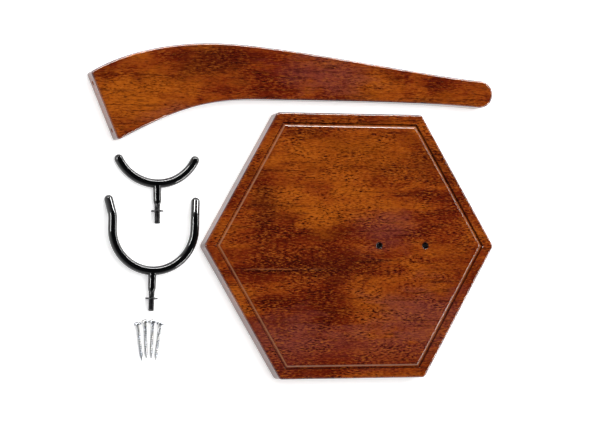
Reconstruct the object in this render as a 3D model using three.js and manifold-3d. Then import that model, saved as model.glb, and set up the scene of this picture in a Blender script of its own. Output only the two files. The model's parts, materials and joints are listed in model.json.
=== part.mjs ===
// Wall hanger for a guitar, lying as a kit: a hexagonal back board, a curved wooden arm,
// two coated steel yokes with a washer on each threaded stem, and four loose screws.
// Millimetres. The origin is the centre of the board's back face, +Z comes out of its front
// face, and the kit lies in the XY plane on a flat surface that the wall pads stand on.

import * as THREE from "three";
import { mergeVertices } from "three/addons/utils/BufferGeometryUtils.js";
import Module from "manifold-3d";

const wasm = await Module();
wasm.setup();

// ---- driving dimensions ---------------------------------------------------------------

const clearance = 0.3;              // between two pieces that sit in or on each other
const overcut = 1;                  // how far a cutter runs past the face that it opens

// back board
const board_across_corners = 260;
const board_thickness = 18;
const board_corner_radius = 4;
const edge_round = 1.2;             // eased edges of the board and the arm
const groove_inset = 8.4;           // from the board's side to the groove's outer edge
const groove_width = 3.6;
const groove_depth = 1.7;
const groove_root = 0.8;            // from its outer edge to its deepest line
const arm_hole_spacing = 42;        // two screws hold the arm's butt end
const arm_hole_offset = 45.6;       // midpoint of the two holes, right of the centre
const arm_hole_diameter = 5;
const counterbore_depth = 4;

// keyhole plates let into the back, and the pads that keep the board off the wall
const plate_offset_x = 62;
const plate_offset_y = 44;
const plate_length = 40;
const plate_width = 15;
const plate_thickness = 1.5;
const keyhole_entry_diameter = 8.5;
const keyhole_slot_width = 4.4;
const keyhole_slot_length = 9;
const keyhole_relief_depth = 8;
const plate_screw_inset = 5.5;      // from the plate's end
const plate_screw_head_diameter = 5.8;
const plate_screw_diameter = 3;
const plate_screw_length = 12;
const plate_screw_point = 3;        // length of its pointed end
const plate_screw_tip_radius = 0.4;
const plate_screw_sink = 0.2;       // head below the plate's face
const pad_diameter = 12;
const pad_thickness = 3;
const pad_proud = 1.5;
const pad_inset = 1;                // from the board's side to the pad's rim
const pad_ease = 0.5;
const pad_turns = [150, 270, 30];   // degrees from +X, at the middles of three sides

// arm, in its own frame: the origin is the middle of the butt end, +X runs to the nose
const arm_length = 346;             // along X, to the tip of the nose
const arm_thickness = 18;
const butt_width = 60.6;
const butt_angle = 22;              // degrees that the butt end's normal dips below -X
const nose_radius = 11.6;
const nose_rise = 16.8;             // height of the nose's centre over the butt's centre
const nose_slope = -4.2;            // degrees, both edges where they meet the nose
const top_crest = { along: 97, up: 54.8, butt_slope: 32, butt_pull: 34, pull: 38, nose_pull: 60 };
const low_crest = { along: 137, up: 8.3, butt_slope: 27.5, butt_pull: 49, pull: 56, nose_pull: 60 };

// threaded brass sockets in the arm's upper edge, for the stems of the yokes
const socket_wall = 1.4;
const socket_length = 14;
const socket_sink = 0.6;            // below the edge
const thread_fit = 0.15;            // on the radius, stem thread in its socket
const pilot_spare = 2;              // pilot hole past the end of its screw

// yokes: a steel rod under a soft coat, with a threaded stem
const rod_diameter = 4.8;
const coat_wall = 1.05;
const coat_gap = 0.25;              // between a rod and the coat around it
const stem_coat_wall = 0.65;
const stem_length = 33.5;           // from the bend's centreline
const stem_coat_end = 17;
const stem_coat_taper = 2.5;
const stem_coat_lip = 0.2;          // wall left at the end of the taper
const thread_diameter = 5;
const thread_length = 14.5;
const thread_ease = 0.6;            // at both ends of the thread
const washer_diameter = 10.5;
const washer_thickness = 1.1;
const washer_bore_gap = 0.2;        // on the radius
const washer_place = 23;            // from the bend's centreline

const deep_yoke = { radius: 35.2, sweep: 180, prong: 9.6, tip: 15.5, drop: 30, flare: 9, turn: -1.2 };
const shallow_yoke = { radius: 36.6, sweep: 127, prong: 0, tip: 0, drop: 0, flare: 0, turn: -0.6 };

// loose screws, fanned out with their heads side by side
const screw_count = 4;
const screw_head_diameter = 6;
const screw_head_height = 2.8;
const screw_diameter = 3.3;
const screw_length = 30;            // under the head
const screw_point = 5;
const screw_tip_radius = 0.3;
const screw_rim_height = 1.25;      // straight side of the head
const screw_shoulder_inset = 0.6;   // from the head's rim
const screw_shoulder_height = 2.4;
const screw_crown_inset = 1.65;
const screw_head_gap = 0.4;
const screw_tip_pitch = 3.9;
const screw_stagger = 1.4;          // the middle screws lie this much further up
const cross_slot_width = 0.8;
const cross_slot_length = 3.4;
const cross_slot_depth = 1.3;

// where the loose pieces lie around the board
const arm_gap = 10.6;               // board's upper side to the arm's lower crest
const nose_overhang = 1.8;          // nose past the board's right corner
const yoke_gap = 2.9;               // board's left corner to the deep yoke's bend
const deep_yoke_y = -20.8;          // bend's centreline
const yoke_spacing = 11;            // deep yoke's tips to the shallow yoke's bend
const shallow_yoke_shift = 5.2;     // shallow yoke, right of the deep one
const screws_shift = -2.2;          // screws' fan, off the yoke's middle
const screw_spacing = 11;           // deep yoke's stem to the first screw heads

// ---- sizes that follow from them ------------------------------------------------------

const board_radius = board_across_corners / 2;
const flat_cosine = Math.cos(Math.PI / 6);
const board_flat = board_radius * flat_cosine;
const floor_z = -pad_proud;
const rod_radius = rod_diameter / 2;
const coat_radius = rod_radius + coat_gap + coat_wall;
const stem_coat_radius = rod_radius + coat_gap + stem_coat_wall;
const thread_radius = thread_diameter / 2;
const socket_bore = thread_radius + thread_fit;
const socket_radius = socket_bore + socket_wall;
const rad = THREE.MathUtils.degToRad;

// ---- materials ------------------------------------------------------------------------

function finish(color, roughness, metalness) {
  return new THREE.MeshStandardMaterial({ color, roughness, metalness });
}

const wood = () => finish(0x7a2f12, 0.25, 0);
const coat = () => finish(0x0b0b0c, 0.3, 0);
const black_steel = () => finish(0x1b1b1d, 0.45, 0.8);
const zinc = () => finish(0xc9ccd0, 0.3, 0.9);
const brass = () => finish(0xc29a4b, 0.35, 0.9);
const felt = () => finish(0x3a3330, 0.95, 0);

// ---- solids ---------------------------------------------------------------------------

function toSolid(geometry) {
  const bare = geometry.clone();
  bare.deleteAttribute("normal");
  bare.deleteAttribute("uv");
  const merged = mergeVertices(bare, 1e-4);
  const vertProperties = new Float32Array(merged.attributes.position.array);
  const triVerts = new Uint32Array(merged.index.array);
  return new wasm.Manifold(new wasm.Mesh({ numProp: 3, vertProperties, triVerts }));
}

function toGeometry(solid) {
  const mesh = solid.getMesh();
  const geometry = new THREE.BufferGeometry();
  geometry.setAttribute("position", new THREE.BufferAttribute(mesh.vertProperties, 3));
  geometry.setIndex(new THREE.BufferAttribute(mesh.triVerts, 1));
  geometry.computeVertexNormals();
  return geometry;
}

function cutFrom(body, cutters) {
  return cutters.reduce((left, cutter) => left.subtract(toSolid(cutter)), toSolid(body));
}

function named(name, geometry, material) {
  const mesh = new THREE.Mesh(geometry, material);
  mesh.name = name;
  return mesh;
}

// A turned shape: profile is a list of [radius, height], turned about +Z.
function turned(profile, sides) {
  const points = profile.map(([radius, height]) => new THREE.Vector2(radius, height));
  return new THREE.LatheGeometry(points, sides, Math.PI / 6).rotateX(Math.PI / 2);
}

// A plain drilled hole: opens at z = from and runs to z = to.
function drill(radius, from, to, sides = 16) {
  return turned([[0, from], [radius, from], [radius, to], [0, to]], sides);
}

// A slab of an outline whose edges are eased on both faces, from z = 0 to z = thickness.
function easedSlab(shape, thickness, ease, curveSegments) {
  const slab = new THREE.ExtrudeGeometry(shape, {
    depth: thickness - 2 * ease,
    bevelThickness: ease,
    bevelSize: ease,
    bevelOffset: -ease,
    bevelSegments: 2,
    curveSegments,
  });
  return slab.translate(0, 0, ease);
}

// A round-ended slot outline, long in Y, from the centre of one end to that of the other.
function roundSlot(half_width, low_y, high_y) {
  const shape = new THREE.Shape();
  shape.absarc(0, high_y, half_width, 0, Math.PI, false);
  shape.absarc(0, low_y, half_width, Math.PI, 2 * Math.PI, false);
  shape.closePath();
  return shape;
}

function slotBlock(shape, low_z, high_z, curveSegments = 4) {
  const block = new THREE.ExtrudeGeometry(shape, {
    depth: high_z - low_z,
    bevelEnabled: false,
    curveSegments,
  });
  return block.translate(0, 0, low_z);
}

// ---- back board -----------------------------------------------------------------------

function hexagon(radius, corner_radius) {
  const shape = new THREE.Shape();
  const reach = radius - corner_radius / flat_cosine;
  for (let corner = 0; corner < 6; corner += 1) {
    const turn = corner * Math.PI / 3;
    const x = reach * Math.cos(turn);
    const y = reach * Math.sin(turn);
    shape.absarc(x, y, corner_radius, turn - Math.PI / 6, turn + Math.PI / 6, false);
  }
  shape.closePath();
  return shape;
}

// A ring with mitred corners that follows the board's side: steep next to the rim, and
// sloping up gently to the panel.
function grooveCutter() {
  const outer = (board_flat - groove_inset) / flat_cosine;
  const inner = (board_flat - groove_inset - groove_width) / flat_cosine;
  const root = (board_flat - groove_inset - groove_root) / flat_cosine;
  const face = board_thickness;
  return turned([
    [outer, face],
    [outer, face + overcut],
    [inner, face + overcut],
    [inner, face],
    [root, face - groove_depth],
    [outer, face],
  ], 6);
}

function armHoles() {
  const bore = screw_head_diameter / 2 + clearance * 2;
  return [-1, 1].flatMap((side) => {
    const x = arm_hole_offset + side * arm_hole_spacing / 2;
    return [
      drill(arm_hole_diameter / 2, -overcut, board_thickness + overcut).translate(x, 0, 0),
      drill(bore, -overcut, counterbore_depth).translate(x, 0, 0),
    ];
  });
}

const plate_screw_y = plate_length / 2 - plate_screw_inset;

function plateScrewProfile(gap) {
  const head = plate_screw_head_diameter / 2 + gap;
  const shank = plate_screw_diameter / 2 + gap;
  const cone = plate_screw_sink + head - shank;
  const tip = plate_screw_length + gap;
  const start = gap > 0 ? -overcut : plate_screw_sink;
  return [
    [0, start],
    [head, start],
    [head, plate_screw_sink],
    [shank, cone],
    [shank, tip - plate_screw_point],
    [plate_screw_tip_radius, tip],
    [0, tip],
  ];
}

function plateCutters(side) {
  const half = plate_width / 2 + clearance;
  const ends = plate_length / 2 - plate_width / 2;
  const pocket = slotBlock(roundSlot(half, -ends, ends), -overcut, plate_thickness + clearance);
  const relief_shape = roundSlot(keyhole_entry_diameter / 2 + clearance, 0, keyhole_slot_length);
  const relief = slotBlock(relief_shape, -overcut, keyhole_relief_depth);
  const pilots = [-1, 1].map((end) =>
    drill(plate_screw_diameter / 2 + clearance, -overcut, plate_screw_length + 2 * clearance)
      .translate(0, end * plate_screw_y, 0));
  relief.translate(0, -keyhole_slot_length / 2, 0);
  return [pocket, relief, ...pilots].map((cutter) =>
    cutter.translate(side * plate_offset_x, plate_offset_y, 0));
}

const pad_places = pad_turns.map((turn) => {
  const reach = board_flat - pad_inset - pad_diameter / 2;
  return [reach * Math.cos(rad(turn)), reach * Math.sin(rad(turn)), 0];
});

function padCutters() {
  const depth = pad_thickness - pad_proud + clearance;
  return pad_places.map((place) =>
    drill(pad_diameter / 2 + clearance, -overcut, depth, 20).translate(...place));
}

function backBoard() {
  const blank = easedSlab(hexagon(board_radius, board_corner_radius), board_thickness, edge_round, 2);
  const cutters = [grooveCutter(), ...armHoles(), ...plateCutters(-1), ...plateCutters(1), ...padCutters()];
  return named("back_board", toGeometry(cutFrom(blank, cutters)), wood());
}

function keyholePlate(name, side) {
  const ends = plate_length / 2 - plate_width / 2;
  const blank = slotBlock(roundSlot(plate_width / 2, -ends, ends), 0, plate_thickness);
  const half_slot = keyhole_slot_length / 2;
  const entry = drill(keyhole_entry_diameter / 2, -overcut, plate_thickness + overcut)
    .translate(0, -half_slot, 0);
  const slot = slotBlock(
    roundSlot(keyhole_slot_width / 2, -half_slot, half_slot), -overcut, plate_thickness + overcut);
  const screw_seats = [-1, 1].map((end) =>
    turned(plateScrewProfile(clearance), 16).translate(0, end * plate_screw_y, 0));
  const solid = cutFrom(blank, [entry, slot, ...screw_seats]);
  const plate = named(name, toGeometry(solid), zinc());
  plate.position.set(side * plate_offset_x, plate_offset_y, 0);
  return plate;
}

function plateScrew(name, side, end) {
  const screw = named(name, turned(plateScrewProfile(0), 12), zinc());
  screw.position.set(side * plate_offset_x, plate_offset_y + end * plate_screw_y, 0);
  return screw;
}

function wallPad(name, place) {
  const radius = pad_diameter / 2;
  const top = pad_thickness - pad_proud;
  const pad = named(name, turned([
    [0, floor_z],
    [radius - pad_ease, floor_z],
    [radius, floor_z + pad_ease],
    [radius, top],
    [0, top],
  ], 20), felt());
  pad.position.set(...place);
  return pad;
}

function board() {
  const group = new THREE.Group();
  group.add(backBoard());
  for (const [word, side] of [["left", -1], ["right", 1]]) {
    group.add(keyholePlate(`keyhole_plate_${word}`, side));
    group.add(plateScrew(`keyhole_screw_${word}_low`, side, -1));
    group.add(plateScrew(`keyhole_screw_${word}_high`, side, 1));
  }
  pad_places.forEach((place, index) => group.add(wallPad(`wall_pad_${index + 1}`, place)));
  return group;
}

// ---- arm ------------------------------------------------------------------------------

const nose_centre = new THREE.Vector2(arm_length - nose_radius, nose_rise);

function heading(degrees, length) {
  return new THREE.Vector2(length * Math.cos(rad(degrees)), length * Math.sin(rad(degrees)));
}

// One long edge of the arm: from a corner of the butt, over its crest, to the nose.
// side is 1 for the upper edge and -1 for the lower one. Gives the two curves' points.
function armEdge(side, crest) {
  const corner = heading(90 + butt_angle, side * butt_width / 2);
  const top = new THREE.Vector2(crest.along, crest.up);
  const end = heading(90 + nose_slope, side * nose_radius).add(nose_centre);
  return [
    corner,
    corner.clone().add(heading(crest.butt_slope, crest.butt_pull)),
    top.clone().sub(heading(0, crest.pull)),
    top,
    top.clone().add(heading(0, crest.nose_pull)),
    end.clone().sub(heading(nose_slope, crest.nose_pull)),
    end,
  ];
}

function armOutline() {
  const upper = armEdge(1, top_crest);
  const lower = armEdge(-1, low_crest);
  const shape = new THREE.Shape();
  const start = rad(-90 + nose_slope);
  const curve = (a, b, c) => shape.bezierCurveTo(a.x, a.y, b.x, b.y, c.x, c.y);
  shape.moveTo(lower[0].x, lower[0].y);
  curve(lower[1], lower[2], lower[3]);
  curve(lower[4], lower[5], lower[6]);
  shape.absarc(nose_centre.x, nose_centre.y, nose_radius, start, start + Math.PI, false);
  curve(upper[5], upper[4], upper[3]);
  curve(upper[2], upper[1], upper[0]);
  shape.closePath();
  return shape;
}

const socket_places = [
  { name: "shallow_yoke_socket", x: top_crest.along, edge_y: top_crest.up },
  { name: "deep_yoke_socket", x: nose_centre.x, edge_y: nose_centre.y + nose_radius },
];

function toEdge(geometry, place) {
  return geometry.rotateX(-Math.PI / 2).translate(place.x, place.edge_y, arm_thickness / 2);
}

function armBody() {
  const blank = easedSlab(armOutline(), arm_thickness, edge_round, 12);
  const depth = socket_sink + socket_length + clearance;
  const seats = socket_places.map((place) =>
    toEdge(drill(socket_radius + clearance, -depth, socket_radius + overcut), place));
  const pilot_radius = screw_diameter / 2;
  const pilot_depth = screw_length - (board_thickness - counterbore_depth) + pilot_spare;
  const pilots = [-1, 1].map((side) =>
    drill(pilot_radius, -overcut, pilot_depth, 12)
      .rotateY(Math.PI / 2)
      .translate(0, side * arm_hole_spacing / 2, arm_thickness / 2)
      .rotateZ(rad(butt_angle)));
  return named("arm", toGeometry(cutFrom(blank, [...seats, ...pilots])), wood());
}

function socket(place) {
  const top = -socket_sink;
  const ring = turned([
    [socket_bore, top],
    [socket_bore, top - socket_length],
    [socket_radius, top - socket_length],
    [socket_radius, top],
    [socket_bore, top],
  ], 16);
  return named(place.name, toEdge(ring, place), brass());
}

function arm() {
  const group = new THREE.Group();
  group.add(armBody(), ...socket_places.map(socket));
  const x = board_radius + nose_overhang - arm_length;
  const y = board_flat + arm_gap - low_crest.up;
  group.position.set(x, y, floor_z);
  return group;
}

// ---- yokes ----------------------------------------------------------------------------

// The centreline of a yoke's bend, in the yoke's own frame: the origin is the lowest point
// of the bend, +Y runs up the prongs, and the tips turn towards -Z. It is a half of the
// bend, mirrored: t runs from one tip's end to the other's.
class YokeCurve extends THREE.Curve {
  constructor(yoke, cut = 0) {
    super();
    this.yoke = yoke;
    this.arc = yoke.radius * rad(yoke.sweep) / 2;
    this.half = this.arc + yoke.prong + yoke.tip - cut;
  }

  getPoint(t, target = new THREE.Vector3()) {
    const along = (2 * t - 1) * this.half;
    const side = Math.sign(along) || 1;
    const distance = Math.abs(along);
    const { radius, sweep, prong, drop, flare } = this.yoke;
    const turn = Math.min(distance, this.arc) / radius;
    const end = rad(sweep) / 2;
    const straight = Math.min(Math.max(distance - this.arc, 0), prong);
    const tip = Math.max(distance - this.arc - prong, 0);
    const lean = rad(drop);
    const spread = rad(flare);
    const reach = tip * Math.cos(lean);
    const x = radius * Math.sin(turn) + straight * Math.cos(end) + reach * Math.sin(spread);
    const y = radius * (1 - Math.cos(turn)) + straight * Math.sin(end) + reach * Math.cos(spread);
    return target.set(side * x, y, -tip * Math.sin(lean));
  }
}

function roundSection(radius, sides) {
  const shape = new THREE.Shape();
  for (let corner = 0; corner < sides; corner += 1) {
    const turn = 2 * Math.PI * corner / sides;
    const point = [radius * Math.cos(turn), radius * Math.sin(turn)];
    if (corner === 0) {
      shape.moveTo(...point);
    } else {
      shape.lineTo(...point);
    }
  }
  shape.closePath();
  return shape;
}

function bentRod(curve, radius, sides, steps) {
  return new THREE.ExtrudeGeometry(roundSection(radius, sides), { steps, extrudePath: curve });
}

// A piece turned about the stem's axis, from heights measured down the stem.
function onStem(profile, sides) {
  return turned(profile.map(([radius, down]) => [radius, -down]).reverse(), sides).rotateX(-Math.PI / 2);
}

function stemProfile() {
  const thread_start = stem_length - thread_length;
  return [
    [0, 0],
    [rod_radius, 0],
    [rod_radius, thread_start],
    [thread_radius, thread_start + thread_ease],
    [thread_radius, stem_length - thread_ease],
    [thread_radius - thread_ease, stem_length],
    [0, stem_length],
  ];
}

function yokeRod(name, yoke) {
  const rod = toSolid(bentRod(new YokeCurve(yoke, coat_wall), rod_radius, 8, 24));
  const stem = toSolid(onStem(stemProfile(), 16));
  return named(name, toGeometry(rod.add(stem)), black_steel());
}

function yokeCoat(name, yoke) {
  const curve = new YokeCurve(yoke);
  const tube = toSolid(bentRod(curve, coat_radius, 12, 28));
  const ends = [0, 1].map((t) => {
    const place = curve.getPoint(t);
    return toSolid(new THREE.SphereGeometry(coat_radius, 12, 8).translate(...place.toArray()));
  });
  const hollow = toSolid(bentRod(new YokeCurve(yoke, coat_wall - coat_gap), rod_radius + coat_gap, 8, 24));
  const stem_hole = toSolid(onStem([
    [0, 0],
    [rod_radius + coat_gap, 0],
    [rod_radius + coat_gap, 2 * coat_radius],
    [0, 2 * coat_radius],
  ], 16));
  const solid = tube.add(ends[0]).add(ends[1]).subtract(hollow).subtract(stem_hole);
  return named(name, toGeometry(solid), coat());
}

function stemCoat(name) {
  const bore = rod_radius + coat_gap;
  const start = coat_radius + clearance;
  const taper_start = stem_coat_end - stem_coat_taper;
  return named(name, onStem([
    [bore, start],
    [stem_coat_radius, start],
    [stem_coat_radius, taper_start],
    [bore + stem_coat_lip, stem_coat_end],
    [bore, stem_coat_end],
    [bore, start],
  ], 16), coat());
}

function washer(name) {
  const bore = thread_radius + washer_bore_gap;
  const rim = washer_diameter / 2;
  const top = washer_place - washer_thickness / 2;
  const bottom = washer_place + washer_thickness / 2;
  return named(name, onStem([[bore, top], [rim, top], [rim, bottom], [bore, bottom], [bore, top]], 24),
    black_steel());
}

// A yoke lies on the ends of its prongs and on its washer's rim, so it leans a little.
function yokeLean(yoke) {
  const tip = new YokeCurve(yoke).getPoint(1);
  const reach = tip.y + washer_place;
  const fall = -tip.z - washer_diameter / 2;
  const angle = Math.atan2(fall, reach) + Math.asin(coat_radius / Math.hypot(reach, fall));
  const height = coat_radius - tip.y * Math.sin(angle) - tip.z * Math.cos(angle);
  return { angle, height };
}

function yoke(word, shape, x, y) {
  const { angle, height } = yokeLean(shape);
  const pieces = new THREE.Group();
  pieces.add(yokeRod(`${word}_yoke_rod`, shape));
  pieces.add(yokeCoat(`${word}_yoke_coat`, shape));
  pieces.add(stemCoat(`${word}_yoke_stem_coat`));
  pieces.add(washer(`${word}_yoke_washer`));
  pieces.rotation.set(angle, 0, rad(shape.turn), "ZYX");
  pieces.position.set(x, y, floor_z + height);
  return pieces;
}

const yokes_x = -(board_radius + yoke_gap + coat_radius + deep_yoke.radius);
const deep_tip_y = deep_yoke_y + new YokeCurve(deep_yoke).getPoint(1).y + coat_radius;
const shallow_yoke_y = deep_tip_y + yoke_spacing;

// ---- loose screws ---------------------------------------------------------------------

function screwSolid() {
  const head = screw_head_diameter / 2;
  const shank = screw_diameter / 2;
  const body = turned([
    [0, -screw_length],
    [screw_tip_radius, -screw_length],
    [shank, screw_point - screw_length],
    [shank, 0],
    [head, 0],
    [head, screw_rim_height],
    [head - screw_shoulder_inset, screw_shoulder_height],
    [head - screw_crown_inset, screw_head_height],
    [0, screw_head_height],
  ], 16);
  const slot = new THREE.BoxGeometry(cross_slot_length, cross_slot_width, 2 * cross_slot_depth);
  slot.translate(0, 0, screw_head_height);
  const cross = slot.clone().rotateZ(Math.PI / 2);
  return toGeometry(cutFrom(body, [slot, cross])).rotateX(-Math.PI / 2);
}

// A screw lies on its head's rim and on the end of its thread; the fan's screws all point
// at one place below the tips.
function looseScrews() {
  const group = new THREE.Group();
  const pitch = screw_head_diameter + screw_head_gap;
  const step = Math.asin((pitch - screw_tip_pitch) / screw_length);
  const fan_radius = pitch / step;
  const drop = (screw_head_diameter - screw_diameter) / 2;
  const lean = Math.asin(drop / (screw_length - screw_point));
  const stem_end_y = deep_yoke_y - stem_length;
  const pivot_y = stem_end_y - screw_spacing - fan_radius;
  for (let index = 0; index < screw_count; index += 1) {
    const place = index - (screw_count - 1) / 2;
    const turn = place * step;
    const middle = Math.abs(place) < 1;
    const reach = fan_radius + (middle ? screw_stagger : 0);
    const word = middle ? "arm_screw" : "wall_screw";
    const screw = named(`${word}_${place < 0 ? 1 : 2}`, screwSolid(), zinc());
    screw.rotation.set(lean, 0, -turn, "ZYX");
    const x = yokes_x + screws_shift + reach * Math.sin(turn);
    const y = pivot_y + reach * Math.cos(turn);
    screw.position.set(x, y, floor_z + screw_head_diameter / 2);
    group.add(screw);
  }
  return group;
}

// ---- the kit --------------------------------------------------------------------------

const hanger = new THREE.Group();
hanger.add(board());
hanger.add(arm());
hanger.add(yoke("shallow", shallow_yoke, yokes_x + shallow_yoke_shift, shallow_yoke_y));
hanger.add(yoke("deep", deep_yoke, yokes_x, deep_yoke_y));
hanger.add(looseScrews());

export default hanger;
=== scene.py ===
"""A wall hanger for a guitar, laid flat as a kit: a hexagonal back board, a curved arm,
two coated yokes with a washer on each threaded stem, and four loose screws.
"""

import json
import math
from collections import namedtuple

import bmesh
import bpy
from mathutils import Matrix, Vector


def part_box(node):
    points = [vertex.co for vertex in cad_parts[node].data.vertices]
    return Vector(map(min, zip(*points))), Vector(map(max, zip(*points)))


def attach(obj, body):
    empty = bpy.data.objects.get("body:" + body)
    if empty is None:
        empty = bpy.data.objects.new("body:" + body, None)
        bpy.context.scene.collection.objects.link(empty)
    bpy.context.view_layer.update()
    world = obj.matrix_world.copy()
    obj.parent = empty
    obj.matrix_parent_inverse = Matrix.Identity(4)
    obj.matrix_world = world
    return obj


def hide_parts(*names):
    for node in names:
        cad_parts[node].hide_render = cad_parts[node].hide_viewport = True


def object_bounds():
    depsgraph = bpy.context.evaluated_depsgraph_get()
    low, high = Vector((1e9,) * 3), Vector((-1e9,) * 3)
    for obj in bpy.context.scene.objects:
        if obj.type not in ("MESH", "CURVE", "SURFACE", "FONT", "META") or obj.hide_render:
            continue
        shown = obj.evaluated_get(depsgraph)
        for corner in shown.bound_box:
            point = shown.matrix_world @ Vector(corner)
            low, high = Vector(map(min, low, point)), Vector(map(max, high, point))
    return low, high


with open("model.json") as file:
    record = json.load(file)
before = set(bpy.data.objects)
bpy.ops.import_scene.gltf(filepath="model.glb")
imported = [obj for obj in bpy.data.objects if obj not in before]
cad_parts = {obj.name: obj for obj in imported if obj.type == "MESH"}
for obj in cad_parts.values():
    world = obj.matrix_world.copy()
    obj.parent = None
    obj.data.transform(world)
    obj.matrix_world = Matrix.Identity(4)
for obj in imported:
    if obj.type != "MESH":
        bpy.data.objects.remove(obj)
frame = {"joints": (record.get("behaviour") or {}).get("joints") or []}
cad_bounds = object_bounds()

MM = 0.001
QUARTER = math.pi / 2
FLAT_COSINE = math.cos(math.pi / 6)
CREASE = 32                 # degrees; sharper edges stay sharp in the shading
PAST = 1                    # how far a cutter reaches past what it cuts

# ---- sizes of the pieces -----------------------------------------------------------------

board_low, board_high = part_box("back_board")
BOARD_FLAT = (board_high.y - board_low.y) / 2 / MM  # from the middle to a side
BOARD_BACK = board_low.z / MM
BOARD_FRONT = board_high.z / MM
BOARD_CORNER = 4
WOOD_EASE = 2.1             # rounding of the board's and the arm's edges
MITRE = 0.3                 # rounding where the groove's runs meet
GROOVE_INSET = 8.4
# The groove across its width, from the rim to the panel: how far in, and how deep.
GROOVE = [
    (-0.3, 0), (-0.1, 0.06), (0.04, 0.25), (0.3, 1.1), (0.55, 1.58), (0.85, 1.68),
    (1.15, 1.58), (1.8, 1.14), (2.5, 0.68), (3.1, 0.3), (3.45, 0.1), (3.8, 0),
]
# Painted highlight along the groove's slope and painted shade in its root: from, to and softness,
# all in from the rim.
GROOVE_PAINTED_HIGHLIGHT = (1.9, 3.0, 0.35)
GROOVE_PAINTED_SHADE = (0.05, 0.9, 0.25)
GROOVE_PAINT_DEPTHS = (3, 2.5)  # below the face, where it starts and where it is full
ARM_HOLE_SPACING = 42
ARM_HOLES = (24.6, 24.6 + ARM_HOLE_SPACING)  # right of the centre
ARM_HOLE_RADIUS = 2.5
ARM_HOLE_LIP = 0.35
COUNTERBORE_RADIUS = 3.6
COUNTERBORE_DEPTH = 4

PLATE_HALF_WIDTH = 7.5
PLATE_END_CENTRE = 12.5
PLATE_THICKNESS = 1.5
PLATE_EASE = 0.25
PLATE_SCREW_REACH = 14.5    # from the plate's middle
PLATE_SCREW_TURN = 25       # degrees
PLATE_SEAT_RADIUS = 3.2
PLATE_SEAT_RIM = 0.2        # depth of the seat's straight rim
PLATE_SEAT_DEPTH = 1.6
PLATE_SEAT_HOLE = 1.8
ENTRY_RADIUS = 4.25
SLOT_HALF_WIDTH = 2.2
SLOT_HALF_LENGTH = 4.5
RELIEF_DEPTH = 8
POCKET_GAP = 0.3
PAD_RADIUS = 6
PAD_PROUD = 1.5
PAD_EASE = 0.7

ARM_LENGTH = 346
ARM_THICKNESS = 18
BUTT_HALF_WIDTH = 30.3
BUTT_ANGLE = 22
BUTT_CORNER = 2.2
NOSE_RADIUS = 11.6
NOSE_RISE = 16.8
NOSE_SLOPE = -4.2
TOP_CREST = {
    "along": 97, "up": 54.8, "butt_slope": 32, "butt_pull": 34, "pull": 38, "nose_pull": 60,
}
LOW_CREST = {
    "along": 137, "up": 8.3, "butt_slope": 27.5, "butt_pull": 49, "pull": 56, "nose_pull": 60,
}
SOCKET_SINK = 0.6
SOCKET_LENGTH = 14
SOCKET_RADIUS = 4.05
SOCKET_BORE = 2.7
PILOT_RADIUS = 1.65
PILOT_DEPTH = 18
PILOT_MOUTH = 0.45          # how much wider the pilot hole's mouth is

COAT_RADIUS = 3.7
STEM_COAT_RADIUS = 3.3
ROD_RADIUS = 2.4
STEM_LENGTH = 33.5          # from the centre of the bend
STEM_COAT_END = 17
THREAD_RADIUS = 2.5
THREAD_START = 19.4
THREAD_PITCH = 0.8
WASHER_PLACE = 23
WASHER_RADIUS = 5.25
WASHER_HALF = 0.55
WASHER_BORE = 2.7
DEEP_YOKE = {"radius": 35.2, "sweep": 180, "prong": 9.6, "tip": 15.5, "drop": 30, "flare": 9}
SHALLOW_YOKE = {"radius": 36.6, "sweep": 127, "prong": 0, "tip": 0, "drop": 0, "flare": 0}
TIP_BEND = 9                # length of rod over which a prong turns into its tip
PATH_STEP = 1               # between the rings of a bend
PATH_FINE = 8               # steps of the path to each ring

SCREW_LENGTH = 30
SCREW_RADIUS = 1.65
SCREW_NECK_RADIUS = 1.35
SCREW_NECK = 6.5            # from the head to the thread
SCREW_POINT = 5
SCREW_HEAD_RADIUS = 3
SCREW_HEAD_HEIGHT = 2.8
SCREW_PITCH = 1.5
SCREW_FAN_STEP = 4.78       # degrees between neighbours
SCREW_LEAN = 3.1            # degrees, from head down to tip

# What the staging uses is in metres, except TABLE_PAINTED_SHADE.
KIT_MIDDLE = (-0.05, 0, 0)
TABLE_HALF = 6
TABLE_GLOW = 0.48
# painted shade: the table glows everywhere except in a disc under the board, left dark
TABLE_PAINTED_SHADE = (98, 116)      # millimetres; the table does not glow inside, under the board

AMBER = (0.350, 0.0780, 0.0040)
OXBLOOD = (0.120, 0.0085, 0.0020)
UMBER = (0.060, 0.0050, 0.0014)
# painted reflection: the lacquer's purple sheen, laid on as patches of colour
PAINTED_PURPLE_SHEEN = (0.165, 0.0330, 0.0230)
CRACK = (0.020, 0.0020, 0.0010)
CRACK_EDGE = (0.420, 0.1500, 0.0600)
STREAK = (0.036, 0.0035, 0.0014)
DARK_FLECK = (0.024, 0.0018, 0.0006)
LIGHT_FLECK = (0.420, 0.1150, 0.0120)
PORE = (0.014, 0.0020, 0.0010)
# colour of the painted highlight on the groove's slope
PAINTED_HIGHLIGHT_TAN = (0.380, 0.1600, 0.0700)
# colour of the painted shade in the groove's root
PAINTED_SHADE_DARK = (0.012, 0.0020, 0.0010)
# colour of the painted shade round the holes' mouths
HOLE_PAINTED_SHADE = (0.004, 0.0010, 0.0008)
WOOD_TONES = [
    (0.0, (0.076, 0.0048, 0.0010)),
    (0.3, (0.122, 0.0110, 0.0018)),
    (0.55, (0.172, 0.0210, 0.0026)),
    (0.8, (0.232, 0.0380, 0.0034)),
    (1.0, (0.300, 0.0610, 0.0042)),
]
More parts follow.
